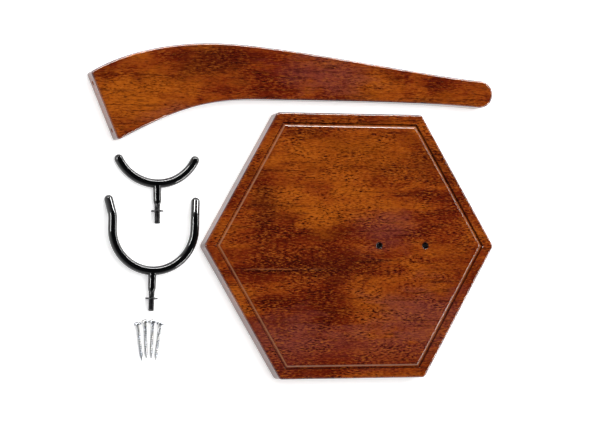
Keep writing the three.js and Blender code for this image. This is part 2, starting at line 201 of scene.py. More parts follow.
# Broad patches of the wood's figure: middle x and y, half length along the grain, half
# width, strength, colour. Each colour is a stain, except PAINTED_PURPLE_SHEEN, which is a
# painted reflection: the lacquer's purple sheen.
BOARD_FIGURE = [
    (5, 78, 88, 30, 0.55, AMBER),
    (-25, 25, 24, 14, 0.7, AMBER),
    (-62, 38, 20, 16, 0.6, AMBER),
    (25, -52, 34, 14, 0.5, AMBER),
    (92, -12, 22, 46, 0.6, OXBLOOD),
    (-76, 26, 13, 30, 0.75, UMBER),
    (-20, -18, 44, 13, 0.8, UMBER),
    (76, 74, 30, 12, 0.55, UMBER),
    (30, 12, 26, 17, 0.6, PAINTED_PURPLE_SHEEN),
    (62, -62, 48, 26, 0.8, PAINTED_PURPLE_SHEEN),
    (-54, -82, 38, 22, 0.85, PAINTED_PURPLE_SHEEN),
    (20, -88, 44, 16, 0.6, PAINTED_PURPLE_SHEEN),
    (6, -98, 92, 14, 0.6, OXBLOOD),
    (-66, -21.4, 36, 0.9, 0.9, CRACK),
    (-64, -20.0, 36, 0.6, 0.35, CRACK_EDGE),
]
ARM_FIGURE = [
    (-184, 126, 44, 18, 0.75, AMBER),
    (24, 136, 24, 22, 0.55, AMBER),
    (90, 124, 30, 10, 0.4, AMBER),
    (-119, 154, 36, 16, 0.85, UMBER),
    (-64, 140, 14, 26, 0.65, OXBLOOD),
    (66, 121, 15, 10, 0.6, UMBER),
    (-198, 90, 24, 14, 0.7, OXBLOOD),
    (-20, 146, 44, 16, 0.65, PAINTED_PURPLE_SHEEN),
    (-150, 108, 26, 10, 0.5, PAINTED_PURPLE_SHEEN),
]

# ---- meshes ------------------------------------------------------------------------------


def skin(rings, wrap=False, place=Matrix()):
    """A closed skin over rings of points, capped at both ends unless it wraps round."""
    shell = bmesh.new()
    rows = [[shell.verts.new(place @ Vector(point) * MM) for point in ring] for ring in rings]
    pairs = list(zip(rows, rows[1:]))
    if wrap:
        pairs.append((rows[-1], rows[0]))
    for low, high in pairs:
        for turn in range(len(low)):
            after = (turn + 1) % len(low)
            shell.faces.new((low[turn], low[after], high[after], high[turn]))
    if not wrap:
        shell.faces.new(list(reversed(rows[0])))
        shell.faces.new(rows[-1])
    bmesh.ops.recalc_face_normals(shell, faces=shell.faces)
    mesh = bpy.data.meshes.new("skin")
    shell.to_mesh(mesh)
    shell.free()
    return mesh


def rounded(start, corner, end, steps=6):
    """Points of a quarter turn from start to end, bulging towards corner."""
    points = []
    for step in range(steps + 1):
        turn = QUARTER * step / steps
        points.append(tuple(
            c - (c - a) * (1 - math.sin(turn)) - (c - b) * (1 - math.cos(turn))
            for a, c, b in zip(start, corner, end)))
    return points


# A thread's lowest and highest point, its pitch, its depth as a share of the radius, and
# the width of its crest from 0 to 1.
Thread = namedtuple("Thread", "low high pitch depth crest")
THREAD_RINGS = 8            # rings of points to each turn
THREAD_FLANK = 1.6          # how steeply the groove falls from the crest


def with_thread_rings(profile, thread):
    """The profile with points added where the thread runs."""
    near = 0.01
    points = []
    for (r0, z0), (r1, z1) in zip(profile, profile[1:]):
        points.append((r0, z0))
        if min(z0, z1) >= thread.low - near and max(z0, z1) <= thread.high + near:
            steps = max(1, round(abs(z1 - z0) / thread.pitch * THREAD_RINGS))
            points += [(r0 + (r1 - r0) * s / steps, z0 + (z1 - z0) * s / steps)
                       for s in range(1, steps)]
    return points + [profile[-1]]


def turned(profile, sides=48, wrap=False, thread=None, place=Matrix()):
    """A shape turned about Z from (radius, height) points, with a thread cut in it."""
    points = with_thread_rings(profile, thread) if thread else profile
    rings = []
    for radius, height in points:
        ring = []
        for side in range(sides):
            share = side / sides
            reach = radius
            if thread and thread.low < height < thread.high:
                phase = (height / thread.pitch - share) % 1
                groove = min(1, max(0, abs(2 * phase - 1) - thread.crest) * THREAD_FLANK)
                below, above = height - thread.low, thread.high - height
                fade = min(1, below / thread.pitch, above / thread.pitch)
                reach = radius * (1 - thread.depth * groove * fade)
            turn = 2 * math.pi * share
            ring.append((reach * math.cos(turn), reach * math.sin(turn), height))
        rings.append(ring)
    return skin(rings, wrap, place)


def put(x, y, z=0):
    return Matrix.Translation((x, y, z))


def round_slot(half_width, half_length, steps=16):
    """A round-ended outline, long in Y."""
    points = []
    for end in (1, -1):
        for step in range(steps + 1):
            turn = math.pi * step / steps + (0 if end > 0 else math.pi)
            across, along = half_width * math.cos(turn), half_width * math.sin(turn)
            points.append((across, end * half_length + along))
    return points


def slot_block(half_width, half_length, low, high, ease=0, place=Matrix()):
    """A round-ended block from low to high, with eased edges."""
    levels = [(0, low), (0, high)]
    if ease:
        levels = rounded((ease, low), (0, low), (0, low + ease), 4)
        levels += rounded((0, high - ease), (0, high), (ease, high), 4)
    rings = [[(x, y, z) for x, y in round_slot(half_width - inset, half_length)]
             for inset, z in levels]
    return skin(rings, place=place)


def cut(mesh, cutters):
    """The mesh with every cutter taken out of it."""
    block = bpy.data.objects.new("block", mesh)
    tools = [bpy.data.objects.new("cutter", cutter) for cutter in cutters]
    for made in [block, *tools]:
        bpy.context.scene.collection.objects.link(made)
    for tool in tools:
        step = block.modifiers.new("cut", "BOOLEAN")
        step.operation = "DIFFERENCE"
        step.solver = "EXACT"
        step.object = tool
    graph = bpy.context.evaluated_depsgraph_get()
    result = bpy.data.meshes.new_from_object(block.evaluated_get(graph))
    for made in [block, *tools]:
        bpy.data.objects.remove(made)
    return result


def piece(name, mesh, finish, body, node):
    """Puts a finished mesh on its body, in the place of its CAD node."""
    mesh.materials.clear()
    mesh.materials.append(finish)
    for face in mesh.polygons:
        face.use_smooth = True
        face.material_index = 0
    mesh.set_sharp_from_angle(angle=math.radians(CREASE))
    mesh.name = name
    made = bpy.data.objects.new(name, mesh)
    bpy.context.scene.collection.objects.link(made)
    flats = made.modifiers.new("flat faces", "WEIGHTED_NORMAL")
    flats.keep_sharp = True
    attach(made, body)
    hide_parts(node)


def middle(node):
    """The middle of a CAD node's box, in millimetres."""
    low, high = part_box(node)
    return (low + high) / 2 / MM


# ---- finishes ----------------------------------------------------------------------------


class Shade:
    """A value in a finish, which takes plain arithmetic."""

    def __init__(self, finish, socket):
        self.finish = finish
        self.socket = socket

    def math(self, operation, *values):
        return self.finish.node(
            "ShaderNodeMath", {"operation": operation}, dict(enumerate(values)))

    def __add__(self, other):
        return self.math("ADD", self, other)

    def __sub__(self, other):
        return self.math("SUBTRACT", self, other)

    def __rsub__(self, other):
        return self.math("SUBTRACT", other, self)

    def __mul__(self, other):
        return self.math("MULTIPLY", self, other)

    def __abs__(self):
        return self.math("ABSOLUTE", self)

    def most(self, other):
        return self.math("MAXIMUM", self, other)


class Finish:
    """A material and its nodes."""

    def __init__(self, name):
        self.material = bpy.data.materials.new(name)
        self.material.use_nodes = True
        self.tree = self.material.node_tree
        self.tree.nodes.clear()
        place = self.node("ShaderNodeTexCoord", output="Object")
        self.point = self.node(
            "ShaderNodeVectorMath", {"operation": "MULTIPLY"}, {0: place, 1: (1 / MM,) * 3})

    def node(self, kind, settings=None, sockets=None, output=0):
        made = self.tree.nodes.new(kind)
        for key, value in (settings or {}).items():
            if key == "stops":
                ramp = made.color_ramp
                while len(ramp.elements) < len(value):
                    ramp.elements.new(0.5)
                for element, (position, colour) in zip(ramp.elements, value):
                    element.position = position
                    element.color = (*colour, 1)
            else:
                setattr(made, key, value)
        for key, value in (sockets or {}).items():
            if isinstance(value, Shade):
                self.tree.links.new(value.socket, made.inputs[key])
            else:
                made.inputs[key].default_value = value
        return Shade(self, made.outputs[output]) if made.outputs else None

    def grain(self, size, detail=2, roughness=0.5, distortion=0, at=(0, 0, 0)):
        """Noise whose features are about size = (x, y, z) millimetres."""
        place = self.node("ShaderNodeVectorMath", {"operation": "MULTIPLY_ADD"}, {
            0: self.point, 1: tuple(1 / length for length in size), 2: at})
        return self.node("ShaderNodeTexNoise", None, {
            "Vector": place, "Scale": 1, "Detail": detail, "Roughness": roughness,
            "Distortion": distortion})

    def spread(self, value, low, high, to_low=0, to_high=1):
        return self.node("ShaderNodeMapRange", {"interpolation_type": "SMOOTHSTEP"}, {
            "Value": value, "From Min": low, "From Max": high, "To Min": to_low, "To Max": to_high})

    def mix(self, amount, first, second):
        colours = [c if isinstance(c, Shade) else (*c, 1) for c in (first, second)]
        return self.node(
            "ShaderNodeMix", {"data_type": "RGBA"},
            {0: amount, 6: colours[0], 7: colours[1]}, output=2)

    def ramp(self, value, stops):
        return self.node("ShaderNodeValToRGB", {"stops": stops}, {"Fac": value})

    def band(self, value, low, high, soft):
        """1 between low and high, fading over soft on both sides."""
        rise = self.spread(value, low - soft, low + soft)
        return rise * self.spread(value, high + soft, high - soft)

    def patch(self, x, y, half_x, half_y, wobble, outer=1.5, inner=0.2):
        """A patch about (x, y) millimetres that fades from inner to outer, as shares of its
        half sizes, its outline pushed about by wobble."""
        place = self.node("ShaderNodeVectorMath", {"operation": "MULTIPLY_ADD"}, {
            0: self.point, 1: (1 / half_x, 1 / half_y, 0), 2: (-x / half_x, -y / half_y, 0)})
        reach = self.node("ShaderNodeVectorMath", {"operation": "LENGTH"}, {0: place}, output=1)
        return self.spread(reach + wobble, outer, inner)

    def bump(self, height, strength, depth):
        """depth is in millimetres."""
        return self.node("ShaderNodeBump", None, {
            "Height": height, "Strength": strength, "Distance": depth * MM})

    def done(self, **sockets):
        named = {key.replace("_", " "): value for key, value in sockets.items()}
        surface = self.node("ShaderNodeBsdfPrincipled", None, {
            key: (*value, 1) if isinstance(value, tuple) else value
            for key, value in named.items()})
        self.node("ShaderNodeOutputMaterial", None, {"Surface": surface})
        return self.material


def painted_groove_and_hole_light(wood, colour):
    """Painted light over the wood's colour: a painted highlight along the groove's slope,
    painted shade in the groove's root, and painted shade round the mouths of the two holes."""
    x, y, z = (wood.node("ShaderNodeSeparateXYZ", None, {0: wood.point}, output=axis)
               for axis in range(3))
    lean = x * FLAT_COSINE
    reach = abs(y).most(abs(lean + y * 0.5)).most(abs(lean - y * 0.5))
    inset = BOARD_FLAT - GROOVE_INSET - reach
    start, full = GROOVE_PAINT_DEPTHS
    on_top = wood.spread(z, BOARD_FRONT - start, BOARD_FRONT - full)
    # painted highlight: the lacquer's reflection on the groove's slope, laid into the colour
    painted_highlight = wood.band(inset, *GROOVE_PAINTED_HIGHLIGHT) * on_top
    # painted shade: darkening in the groove's root, where shade falls
    painted_shade = wood.band(inset, *GROOVE_PAINTED_SHADE) * on_top
    colour = wood.mix(painted_highlight * 0.62, colour, PAINTED_HIGHLIGHT_TAN)
    colour = wood.mix(painted_shade * 0.85, colour, PAINTED_SHADE_DARK)
    # painted shade: a dark ring round each hole's mouth, where shade falls into the hole
    for hole in ARM_HOLES:
        rim = wood.patch(hole, 0, ARM_HOLE_RADIUS, ARM_HOLE_RADIUS, 0, outer=1.32, inner=1.12)
        colour = wood.mix(rim * 0.9, colour, HOLE_PAINTED_SHADE)
    return colour


def lacquered_wood(name, at, cross_figure, figure, fleck_strength, grooved=False):
    """Red-brown figured wood under gloss lacquer, its grain along X. at picks the part of
    the plank, cross_figure is how strong the bands across the grain are, and figure lists
    its broad patches. The base gives no gloss of its own, so all of it comes from the
    lacquer."""
    wood = Finish(name)
    clouds = wood.grain((62, 30, 30), 2.5, 0.55, 0.7, at)
    bands = wood.grain((24, 62, 40), 1, 0.5, 0.4, at)
    runs = wood.grain((110, 8, 8), 2, 0.55, 0.5, at)
    tone = clouds * 0.6 + bands * cross_figure + runs * (0.4 - cross_figure)
    colour = wood.ramp(wood.spread(tone, 0.36, 0.64), WOOD_TONES)
    ragged = wood.grain((26, 10, 10), 3, 0.6, 0.6, (at[0] + 7, at[1] + 3, at[2]))
    wobble = (ragged - 0.5) * 2.6
    for x, y, half_x, half_y, amount, patch_colour in figure:
        colour = wood.mix(wood.patch(x, y, half_x, half_y, wobble) * amount, colour, patch_colour)
    streaks = wood.grain((34, 1.7, 1.7), 2, 0.5, 0.4, at)
    colour = wood.mix(wood.spread(streaks, 0.56, 0.7, 0, 0.6), colour, STREAK)
    flecks = wood.grain((3.4, 0.85, 0.85), 2, 0.6, 0.3, at)
    drift = wood.spread(wood.grain((30, 16, 16), 2, 0.5, 0, at), 0.35, 0.65, 0.45, 1)
    dark_flecks = wood.spread(flecks, 0.5, 0.36, 0, fleck_strength) * drift
    light_flecks = wood.spread(flecks, 0.52, 0.66, 0, fleck_strength * 0.6) * drift
    colour = wood.mix(dark_flecks, colour, DARK_FLECK)
    colour = wood.mix(light_flecks, colour, LIGHT_FLECK)
    pores = wood.grain((6, 0.4, 0.4), 1.5, 0.5, 0, at)
    pore_mask = wood.spread(pores, 0.61, 0.67)
    colour = wood.mix(pore_mask * 0.8, colour, PORE)
    # on the board: painted highlight and painted shade in the groove, painted shade round the holes
    if grooved:
        colour = painted_groove_and_hole_light(wood, colour)
    peel = wood.grain((9, 9, 9), 1, 0.5)
    height = peel * 0.7 + flecks * 0.2 - pore_mask * 0.4
    return wood.done(
        Base_Color=colour,
        Roughness=wood.spread(flecks, 0.3, 0.7, 0.36, 0.26),
        Specular_IOR_Level=0.0,
        Coat_Weight=1.0,
        Coat_Roughness=0.05,
        Coat_IOR=1.65,
        Normal=wood.bump(height, 0.16, 0.05),
    )


def glossy_vinyl(name):
    """Black dipped coat: smooth, with slow ripples and a few dull specks."""
    vinyl = Finish(name)
    ripple = vinyl.grain((7, 7, 7), 1.5, 0.5)
    specks = vinyl.spread(vinyl.grain((0.8, 0.8, 0.8), 2, 0.6), 0.6, 0.78)
    return vinyl.done(
        Base_Color=vinyl.mix(ripple, (0.0012, 0.0012, 0.0015), (0.0030, 0.0030, 0.0034)),
        Roughness=specks * 0.2 + vinyl.spread(ripple, 0.3, 0.7, 0.03, 0.07),
        Specular_IOR_Level=0.55,
        Normal=vinyl.bump(ripple + specks * 0.05, 0.2, 0.08),
    )


def blackened_steel(name):
    """Black oxide: nearly even, greyer where it has been handled."""
    steel = Finish(name)
    cloud = steel.grain((3, 3, 3), 3, 0.6)
    turning = steel.grain((4, 0.18, 4), 1, 0.5)
    handled = steel.spread(cloud, 0.4, 0.7)
    return steel.done(
        Base_Color=steel.mix(handled, (0.018, 0.018, 0.020), (0.060, 0.058, 0.058)),
        Metallic=0.85,
        Roughness=steel.spread(turning, 0.3, 0.7, 0.28, 0.44),
        Normal=steel.bump(turning, 0.2, 0.02),
    )


def bright_zinc(name):
    """Zinc plate: blue-white, with soft patches and fine scratches."""
    zinc = Finish(name)
    patch = zinc.grain((4, 4, 4), 2, 0.5)
    scratches = zinc.grain((0.12, 3, 0.12), 1, 0.5)
    warm = zinc.spread(patch, 0.35, 0.65)
    return zinc.done(
        Base_Color=zinc.mix(warm, (0.24, 0.255, 0.28), (0.33, 0.325, 0.315)),
        Metallic=0.85,
        Roughness=zinc.spread(patch, 0.3, 0.7, 0.2, 0.32) + scratches * 0.06,
        Normal=zinc.bump(scratches, 0.15, 0.02),
    )


def turned_brass(name):
    """Yellow brass with the fine rings of the lathe."""
    brass = Finish(name)
    tarnish = brass.grain((3, 3, 3), 3, 0.6)
    rings = brass.grain((2.5, 0.15, 2.5), 1, 0.5)
    dulled = brass.spread(tarnish, 0.4, 0.7)
    return brass.done(
        Base_Color=brass.mix(dulled, (0.72, 0.50, 0.20), (0.50, 0.32, 0.13)),
        Metallic=1.0,
        Roughness=brass.spread(tarnish, 0.3, 0.7, 0.22, 0.4),
        Normal=brass.bump(rings, 0.3, 0.03),
    )


def pressed_felt(name):
    """Dark felt: short tangled fibres and a little lint."""
    felt = Finish(name)
    fibres = felt.grain((0.35, 0.16, 0.2), 4, 0.7, 2.0)
    lint = felt.spread(felt.grain((1.6, 0.25, 0.9), 2, 0.5, 1.5), 0.62, 0.72)
    raised = felt.spread(fibres, 0.3, 0.7)
    colour = felt.mix(raised, (0.018, 0.016, 0.015), (0.085, 0.078, 0.070))
    return felt.done(
        Base_Color=felt.mix(lint * 0.5, colour, (0.22, 0.21, 0.20)),
        Roughness=felt.spread(fibres, 0.3, 0.7, 0.98, 0.9),
        Sheen_Weight=0.4,
        Normal=felt.bump(fibres, 0.8, 0.25),
    )


BOARD_WOOD = lacquered_wood(
    "board_wood", (0.0, 0.0, 0.0), 0.12, BOARD_FIGURE, 1.0, grooved=True)
ARM_WOOD = lacquered_wood("arm_wood", (5.3, 2.1, 4.0), 0.2, ARM_FIGURE, 0.72)
VINYL = glossy_vinyl("coat_vinyl")
BLACK_STEEL = blackened_steel("stem_steel")
ZINC = bright_zinc("zinc_plate")
BRASS = turned_brass("socket_brass")
FELT = pressed_felt("pad_felt")

# ---- back board --------------------------------------------------------------------------


def hexagon(inset, corner, height, steps=8):
    """One ring of the board, inset from its sides, with rounded corners."""
    reach = (BOARD_FLAT - inset - corner) / FLAT_COSINE
    ring = []
    for side in range(6):
        turn = side * math.pi / 3
        for step in range(steps + 1):
            lean = turn + (step / steps - 0.5) * math.pi / 3
            x = reach * math.cos(turn) + corner * math.cos(lean)
            y = reach * math.sin(turn) + corner * math.sin(lean)
            ring.append((x, y, height))
    return ring


def board_blank():
    """The board with its groove, before its holes and recesses are cut."""
    back, front = BOARD_BACK, BOARD_FRONT
    ease = WOOD_EASE
    profile = rounded((ease, back), (0, back), (0, back + ease))
    profile += rounded((0, front - ease), (0, front), (ease, front))
    rings = [hexagon(inset, BOARD_CORNER - inset, z) for inset, z in profile]
    rings += [hexagon(GROOVE_INSET + across, MITRE, front - depth) for across, depth in GROOVE]
    return skin(rings)


def board_cutters():
    """What is cut from the board: its holes, and the recesses in its back."""
    front = BOARD_FRONT
    hole, lip = ARM_HOLE_RADIUS, ARM_HOLE_RADIUS + ARM_HOLE_LIP
    cutters = []
    for x in ARM_HOLES:
        cutters.append(turned([
            (COUNTERBORE_RADIUS, -PAST),
            (COUNTERBORE_RADIUS, COUNTERBORE_DEPTH),
            (hole, COUNTERBORE_DEPTH),
            *rounded((hole, front - ARM_HOLE_LIP), (hole, front), (lip, front), 3),
            (lip, front + PAST),
        ], 40, place=put(x, 0)))
    for word in ("left", "right"):
        centre = middle(f"keyhole_plate_{word}")
        place = put(centre.x, centre.y)
        pocket_depth = PLATE_THICKNESS + POCKET_GAP
        cutters.append(slot_block(
            PLATE_HALF_WIDTH + POCKET_GAP, PLATE_END_CENTRE, -PAST, pocket_depth, place=place))
        relief_radius = ENTRY_RADIUS + POCKET_GAP
        cutters.append(slot_block(
            relief_radius, SLOT_HALF_LENGTH, -PAST, RELIEF_DEPTH, place=place))
    for number in (1, 2, 3):
        centre = middle(f"wall_pad_{number}")
        recess = PAD_RADIUS + POCKET_GAP
        cutters.append(turned([(recess, -PAST), (recess, PAD_PROUD + POCKET_GAP)],
                              place=put(centre.x, centre.y)))
    return cutters


def keyhole_plate(word):
    """A keyhole plate: a round entry, the slot up from it, and two countersunk seats."""
    name = f"keyhole_plate_{word}"
    centre = middle(name)
    low = centre.z - PLATE_THICKNESS / 2
    high = centre.z + PLATE_THICKNESS / 2
    under, over = low - PAST, high + PAST
    place = put(centre.x, centre.y)
    blank = slot_block(PLATE_HALF_WIDTH, PLATE_END_CENTRE, low, high, PLATE_EASE, place)
    entry = turned([(ENTRY_RADIUS, under), (ENTRY_RADIUS, over)],
                   place=put(centre.x, centre.y - SLOT_HALF_LENGTH))
    slot = slot_block(SLOT_HALF_WIDTH, SLOT_HALF_LENGTH, under, over, place=place)
    seat = [
        (PLATE_SEAT_RADIUS, under), (PLATE_SEAT_RADIUS, low + PLATE_SEAT_RIM),
        (PLATE_SEAT_HOLE, low + PLATE_SEAT_DEPTH), (PLATE_SEAT_HOLE, over),
    ]
    seats = [turned(seat, place=put(centre.x, centre.y + end * PLATE_SCREW_REACH))
             for end in (-1, 1)]
    piece(f"{name}_zinc", cut(blank, [entry, slot, *seats]), ZINC, "board", name)


def cross_cutters(half_length, half_width, top, depth, place):
    """Two slots that cross, cut down from top, shorter and narrower at the floor."""
    floor_length, floor_width, above = 0.4, 0.8, 0.5
    levels = (
        (top - depth, half_length * floor_length, half_width * floor_width),
        (top + above, half_length, half_width),
    )
    cutters = []
    for turn in (0, QUARTER):
        rings = []
        for z, long_half, wide_half in levels:
            rings.append([(-long_half, -wide_half, z), (long_half, -wide_half, z),
                          (long_half, wide_half, z), (-long_half, wide_half, z)])
        cutters.append(skin(rings, place=place @ Matrix.Rotation(turn, 4, "Z")))
    return cutters


def plate_screw(node):
    """A countersunk screw that holds a keyhole plate, with its head at the back."""
    centre = middle(node)
    low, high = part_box(node)
    turn = Matrix.Rotation(math.radians(PLATE_SCREW_TURN), 4, "Z")
    place = put(centre.x, centre.y, low.z / MM) @ turn
    length = (high.z - low.z) / MM
    profile = [
        (1.2, 0), (2.4, 0.02), (2.8, 0.12), (2.9, 0.25), (1.5, 1.6), (1.35, 2.2),
        (1.35, length - 3), (0.35, length), (0.1, length),
    ]
    thread = Thread(low=2.2, high=length - 0.4, pitch=1.2, depth=0.28, crest=0.1)
    mesh = turned(profile, 24, thread=thread, place=place)
    flip = place @ Matrix.Rotation(math.pi, 4, "X")
    mesh = cut(mesh, cross_cutters(half_length=1.7, half_width=0.4, top=0, depth=1.1, place=flip))
    piece(f"{node}_zinc", mesh, ZINC, "board", node)


def wall_pad(node):
    """A round pad, eased where it meets the wall."""
    centre = middle(node)
    low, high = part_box(node)
    bottom, top = low.z / MM, high.z / MM
    rim = PAD_RADIUS
    profile = [(0.5, bottom), (2.5, bottom), (4.2, bottom)]
    profile += rounded((rim - PAD_EASE, bottom), (rim, bottom), (rim, bottom + PAD_EASE), 4)
    profile += [(rim, top - 0.1), (rim - 0.1, top), (0.5, top)]
    mesh = turned(profile, 40, place=put(centre.x, centre.y))
    piece(f"{node}_felt", mesh, FELT, "board", node)


piece("board_body", cut(board_blank(), board_cutters()), BOARD_WOOD, "board", "back_board")
for word in ("left", "right"):
    keyhole_plate(word)
    plate_screw(f"keyhole_screw_{word}_low")
    plate_screw(f"keyhole_screw_{word}_high")
for number in (1, 2, 3):
    wall_pad(f"wall_pad_{number}")

# ---- arm ---------------------------------------------------------------------------------


def heading(degrees, length):
    """A step of that length, turned from +X."""
    turn = math.radians(degrees)
    return Vector((length * math.cos(turn), length * math.sin(turn)))


NOSE = Vector((ARM_LENGTH - NOSE_RADIUS, NOSE_RISE))


def bezier(a, b, c, d, steps):
    """Points of a cubic curve, from a up to and without d."""
    points = []
    for step in range(steps):
        t = step / steps
        u = 1 - t
        points.append(a * u ** 3 + b * (3 * u * u * t) + c * (3 * u * t * t) + d * t ** 3)
    return points


def arm_edge(side, crest):
    """A long edge of the arm from the butt's corner to the nose."""
    corner = heading(90 + BUTT_ANGLE, side * BUTT_HALF_WIDTH)
    top = Vector((crest["along"], crest["up"]))
    end = heading(90 + NOSE_SLOPE, side * NOSE_RADIUS) + NOSE
    points = bezier(
        corner, corner + heading(crest["butt_slope"], crest["butt_pull"]),
        top - heading(0, crest["pull"]), top, 48)
    points += bezier(
        top, top + heading(0, crest["nose_pull"]),
        end - heading(NOSE_SLOPE, crest["nose_pull"]), end, 64)
    return points


def corner_arc(before, corner, after, radius, steps=8):
    """A rounded corner: its points, and how much of each side it takes."""
    back = (before - corner).normalized()
    on = (after - corner).normalized()
    half = back.angle(on) / 2
    taken = radius / math.tan(half)
    centre = corner + (back + on).normalized() * (radius / math.sin(half))
    first = corner + back * taken - centre
    last = corner + on * taken - centre
    sweep = math.atan2(first.x * last.y - first.y * last.x, first.dot(last))
    arc = []
    for step in range(steps + 1):
        turn = sweep * step / steps
        arc.append(centre + Matrix.Rotation(turn, 2) @ first)
    return arc, taken


def arm_outline():
    """The arm's outline from the butt's lower corner round the nose and back."""
    lower = arm_edge(-1, LOW_CREST)
    upper = list(reversed(arm_edge(1, TOP_CREST)))
    nose_steps = 32
    nose = [NOSE + heading(NOSE_SLOPE - 90 + 180 * step / nose_steps, NOSE_RADIUS)
            for step in range(nose_steps + 1)]
    low_arc, low_taken = corner_arc(upper[-1], lower[0], lower[1], BUTT_CORNER)
    top_arc, top_taken = corner_arc(upper[-2], upper[-1], lower[0], BUTT_CORNER)
    clear = 0.5             # between the end of a corner and the next point
    lower_run = [p for p in lower if (p - lower[0]).length > low_taken + clear]
    upper_run = [p for p in upper if (p - upper[-1]).length > top_taken + clear]
    return low_arc + lower_run + nose + upper_run + top_arc


def inset_outline(outline, inset):
    """The outline moved inwards by inset."""
    moved = []
    for index, point in enumerate(outline):
        before = (point - outline[index - 1]).normalized()
        after = (outline[(index + 1) % len(outline)] - point).normalized()
        along = (before + after).normalized()
        reach = inset / max(0.5, along.dot(after))  # no longer than twice the inset
        moved.append(point + Vector((-along.y, along.x)) * reach)
    return moved


ARM_LOW, ARM_HIGH = (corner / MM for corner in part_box("arm"))
ARM_PLACE = put(ARM_HIGH.x - ARM_LENGTH, ARM_HIGH.y - TOP_CREST["up"], ARM_LOW.z)
SOCKETS = {
    "shallow_yoke_socket": Vector((TOP_CREST["along"], TOP_CREST["up"], ARM_THICKNESS / 2)),
    "deep_yoke_socket": Vector((NOSE.x, NOSE.y + NOSE_RADIUS, ARM_THICKNESS / 2)),
}


def to_edge(spot):
    """Turns a shape that points up Z into one that comes out of the arm's upper edge."""
    return ARM_PLACE @ put(*spot) @ Matrix.Rotation(-QUARTER, 4, "X")


def arm_body():
    """The arm, with its sockets' seats and the pilot holes in its butt."""
    outline = arm_outline()
    ease = WOOD_EASE
    profile = rounded((ease, 0), (0, 0), (0, ease))
    profile += rounded((0, ARM_THICKNESS - ease), (0, ARM_THICKNESS), (ease, ARM_THICKNESS))
    rings = [[(p.x, p.y, z) for p in inset_outline(outline, inset)] for inset, z in profile]
    seat = SOCKET_RADIUS + POCKET_GAP
    depth = SOCKET_SINK + SOCKET_LENGTH + POCKET_GAP
    above = 5               # clears the curve of the edge
    cutters = [turned([(seat, -depth), (seat, above)], place=to_edge(spot))
               for spot in SOCKETS.values()]
    mouth = PILOT_RADIUS + PILOT_MOUTH
    pilot = [(mouth, -PAST), (mouth, 0.1), (PILOT_RADIUS, 0.6), (PILOT_RADIUS, PILOT_DEPTH)]
    butt = ARM_PLACE @ Matrix.Rotation(math.radians(BUTT_ANGLE), 4, "Z")
    for side in (-1, 1):
        place = butt @ put(0, side * ARM_HOLE_SPACING / 2, ARM_THICKNESS / 2)
        place = place @ Matrix.Rotation(QUARTER, 4, "Y")
        cutters.append(turned(pilot, 24, place=place))
    mesh = cut(skin(rings, place=ARM_PLACE), cutters)
    piece("arm_body", mesh, ARM_WOOD, "arm", "arm")


def yoke_socket(node, spot):
    """A brass insert with a plain bore, a waist outside and eased ends."""
    top = -SOCKET_SINK
    bottom = top - SOCKET_LENGTH
    rim, waist, bore = SOCKET_RADIUS, SOCKET_RADIUS - 0.5, SOCKET_BORE
    profile = [
        (bore + 0.35, bottom), (rim - 0.4, bottom), (rim, bottom + 0.5), (rim, bottom + 4),
        (waist, bottom + 4.6), (waist, top - 5), (rim, top - 4.4), (rim, top - 0.4),
        (rim - 0.35, top), (bore + 0.45, top), (bore, top - 0.5), (bore, bottom + 0.4),
    ]
    mesh = turned(profile, 48, wrap=True, place=to_edge(spot))
    piece(f"{node}_brass", mesh, BRASS, "arm", node)


arm_body()
for node, spot in SOCKETS.items():
    yoke_socket(node, spot)

# ---- yokes -------------------------------------------------------------------------------


def bend_path(yoke):
    """Centre points and headings of half a yoke's bend, from its lowest point to its tip.
    The prong turns into its tip over a short bend, and the tip drops towards -Z."""
    arc = yoke["radius"] * math.radians(yoke["sweep"]) / 2
    total = arc + yoke["prong"] + yoke["tip"]
    drop = math.radians(yoke["drop"])
    flare = math.radians(yoke["flare"])
    level = math.cos(drop)
    tip_heading = Vector((level * math.sin(flare), level * math.cos(flare), -math.sin(drop)))
    count = round(total / PATH_STEP) * PATH_FINE
    place = Vector((0, 0, 0))
    points = []
    for index in range(count + 1):
        distance = total * index / count
        turn = min(distance, arc) / yoke["radius"]
        ahead = Vector((math.cos(turn), math.sin(turn), 0))
        if yoke["tip"]:
            share = (distance - arc - yoke["prong"]) / TIP_BEND + 0.5
            share = min(1, max(0, share))
            ahead = ahead.lerp(tip_heading, share * share * (3 - 2 * share)).normalized()
        if index % PATH_FINE == 0:
            points.append((place.copy(), ahead))
        place = place + ahead * (total / count)
    return points


def bend_coat(yoke, place):
    """The coat around the bend: one smooth tube with round ends."""
    sides = 32
    cap_turns = [min(QUARTER * k / 8 + 0.04, QUARTER - 0.03) for k in range(8)]
    half = bend_path(yoke)
    run = [(Vector((-p.x, p.y, p.z)), Vector((h.x, -h.y, -h.z))) for p, h in reversed(half[1:])]
    run += half

    def ring(centre, ahead, radius):
        side = ahead.cross(Vector((0, 0, 1))).normalized()
        over = side.cross(ahead)
        turns = (2 * math.pi * k / sides for k in range(sides))
        return [centre + (side * math.cos(t) + over * math.sin(t)) * radius for t in turns]

    def cap(centre, ahead, way):
        return [
            ring(centre + ahead * way * COAT_RADIUS * math.sin(turn), ahead,
                 COAT_RADIUS * math.cos(turn))
            for turn in cap_turns]

    rings = list(reversed(cap(*run[0], -1)))
    rings += [ring(centre, ahead, COAT_RADIUS) for centre, ahead in run]
    rings += cap(*run[-1], 1)
    return skin(rings, place=place)


